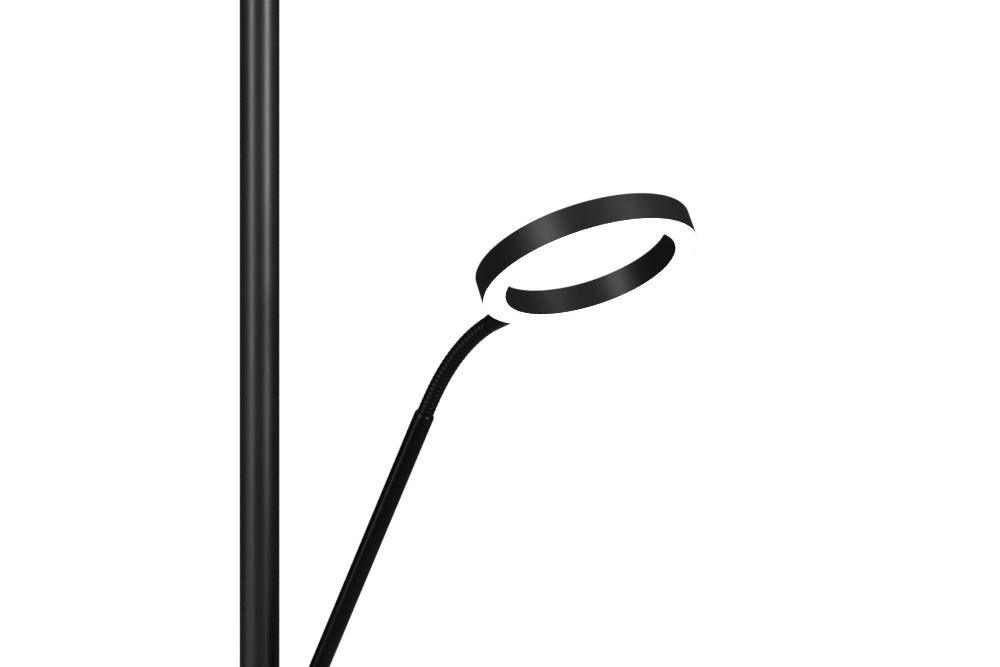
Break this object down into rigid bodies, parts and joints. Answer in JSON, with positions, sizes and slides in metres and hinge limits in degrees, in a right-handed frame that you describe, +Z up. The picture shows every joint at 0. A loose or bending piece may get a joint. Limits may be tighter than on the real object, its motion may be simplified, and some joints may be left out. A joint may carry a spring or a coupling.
{
  "type": "torchiere floor lamp",
  "caption": "Torchiere floor lamp: round weighted base, straight tubular pole with dimmer knobs, tilting ring uplighter and a small ring reading lamp on a leaning arm with a flexible neck.",
  "frame": {"origin": "centre of the base's underside, where the foam pad meets the floor, on the pole's axis", "axes": "+Z up along the pole, +X the way the reading arm leans, -X the way the uplighter ring reaches"},
  "size_m": [0.6211, 0.2826, 1.83],
  "materials": {
    "board_green": "matte",
    "board_white": "matte",
    "brass": "satin",
    "cable_black": "matte",
    "cover_black": "satin",
    "driver_white": "matte",
    "grommet_rubber": "matte",
    "iron": "matte",
    "knob_black": "matte",
    "neck_black": "gloss",
    "opal": "matte",
    "pad_rubber": "matte",
    "pole_black": "satin",
    "ring_black": "satin",
    "steel": "satin",
    "tube_black": "satin"
  },
  "bodies": {
    "stand": {"floor_pad": "pad_rubber", "base_plate": "steel", "base_weight": "iron", "base_cover": "cover_black", "base_screws": "steel", "base_nipple": "brass", "base_nut": "steel", "pole_collar": "pole_black", "cord_grommet": "grommet_rubber", "led_driver": "driver_white", "terminal_block": "driver_white", "pole_foot_insert": "steel", "lower_pole": "pole_black", "pole_coupler": "steel", "middle_pole": "pole_black", "upper_pole": "pole_black", "feed_cable": "cable_black", "uplight_cable": "cable_black", "hub_housing": "pole_black", "hub_lower_cap": "pole_black", "hub_upper_cap": "pole_black", "hub_set_screws": "steel", "dimmer_board": "board_green", "arm_clevis": "pole_black", "clevis_screws": "steel", "arm_pivot_screw": "steel", "arm_pivot_nut": "steel", "pivot_washers": "steel", "top_bush": "steel"},
    "uplight_dimmer": {"uplight_knob": "knob_black", "uplight_shaft": "steel"},
    "reading_dimmer": {"reading_knob": "knob_black", "reading_shaft": "steel"},
    "arm": {"arm_knuckle": "pole_black", "arm_tube": "tube_black", "arm_cable": "cable_black", "flex_plug": "steel"},
    "neck_1": {"flex_link_1": "neck_black"},
    "neck_2": {"flex_link_2": "neck_black"},
    "neck_3": {"flex_link_3": "neck_black"},
    "neck_4": {"flex_link_4": "neck_black"},
    "neck_5": {"flex_link_5": "neck_black"},
    "neck_6": {"flex_link_6": "neck_black"},
    "neck_7": {"flex_link_7": "neck_black"},
    "neck_8": {"flex_link_8": "neck_black"},
    "reading_head": {"neck_cone": "ring_black", "neck_nut": "steel", "reading_housing": "ring_black", "reading_diffuser": "opal", "reading_led_board": "board_white"},
    "fork": {"top_fork": "pole_black", "stem_clip": "steel", "tilt_screw": "steel", "tilt_nut": "steel", "tilt_washers": "steel"},
    "uplighter": {"uplight_neck": "ring_black", "uplight_nut": "steel", "uplight_housing": "ring_black", "uplight_diffuser": "opal", "uplight_led_board": "board_white"}
  },
  "joints": [
    {"name": "uplight_swivel", "type": "hinge", "parent": "stand", "child": "fork", "pos_m": [0, 0, 1.79], "axis": [0, 0, 1], "range_deg": [-170, 170]},
    {"name": "uplight_tilt", "type": "hinge", "parent": "fork", "child": "uplighter", "pos_m": [0, 0, 1.818], "axis": [0, 1, 0], "range_deg": [-25, 75]},
    {"name": "arm_tilt", "type": "hinge", "parent": "stand", "child": "arm", "pos_m": [0.03, 0, 1.08446], "axis": [0, 1, 0], "range_deg": [-17, 61]},
    {"name": "flex_bend", "type": "hinge", "parent": "arm", "child": "neck_1", "pos_m": [0.13987, 0, 1.2839], "axis": [0, 1, 0], "range_deg": [-8.5, 7.5]},
    {"name": "flex_side", "type": "hinge", "parent": "neck_1", "child": "neck_2", "pos_m": [0.1443, 0, 1.29173], "axis": [0.8599, 0, -0.5105], "range_deg": [-7.5, 7.5]},
    {"name": "flex_bend_2", "type": "hinge", "parent": "neck_2", "child": "neck_3", "pos_m": [0.14906, 0, 1.29937], "axis": [0, 1, 0], "range_deg": [-8.5, 7.5]},
    {"name": "flex_side_2", "type": "hinge", "parent": "neck_3", "child": "neck_4", "pos_m": [0.15426, 0, 1.30672], "axis": [0.7953, 0, -0.6063], "range_deg": [-7.5, 7.5]},
    {"name": "flex_bend_3", "type": "hinge", "parent": "neck_4", "child": "neck_5", "pos_m": [0.15996, 0, 1.31368], "axis": [0, 1, 0], "range_deg": [-8.5, 7.5]},
    {"name": "flex_side_3", "type": "hinge", "parent": "neck_5", "child": "neck_6", "pos_m": [0.16621, 0, 1.32015], "axis": [0.6882, 0, -0.7255], "range_deg": [-7.5, 7.5]},
    {"name": "flex_bend_4", "type": "hinge", "parent": "neck_6", "child": "neck_7", "pos_m": [0.17301, 0, 1.32605], "axis": [0, 1, 0], "range_deg": [-8.5, 7.5]},
    {"name": "flex_side_4", "type": "hinge", "parent": "neck_7", "child": "neck_8", "pos_m": [0.18035, 0, 1.33126], "axis": [0.5362, 0, -0.8441], "range_deg": [-7.5, 7.5]},
    {"name": "head_turn", "type": "hinge", "parent": "neck_8", "child": "reading_head", "pos_m": [0.18818, 0, 1.33569], "axis": [0.8961, 0, 0.4439], "range_deg": [-30, 30]},
    {"name": "uplight_knob_turn", "type": "hinge", "parent": "stand", "child": "uplight_dimmer", "pos_m": [0.0182, 0, 1.054], "axis": [1, 0, 0], "range_deg": [0, 300]},
    {"name": "reading_knob_turn", "type": "hinge", "parent": "stand", "child": "reading_dimmer", "pos_m": [0.0182, 0, 1.03], "axis": [1, 0, 0], "range_deg": [0, 300]}
  ],
  "couplings": [
    {"joint": "flex_bend_2", "follows": "flex_bend", "ratio": 1},
    {"joint": "flex_bend_3", "follows": "flex_bend", "ratio": 1},
    {"joint": "flex_bend_4", "follows": "flex_bend", "ratio": 1},
    {"joint": "flex_side_2", "follows": "flex_side", "ratio": 1},
    {"joint": "flex_side_3", "follows": "flex_side", "ratio": 1},
    {"joint": "flex_side_4", "follows": "flex_side", "ratio": 1}
  ]
}
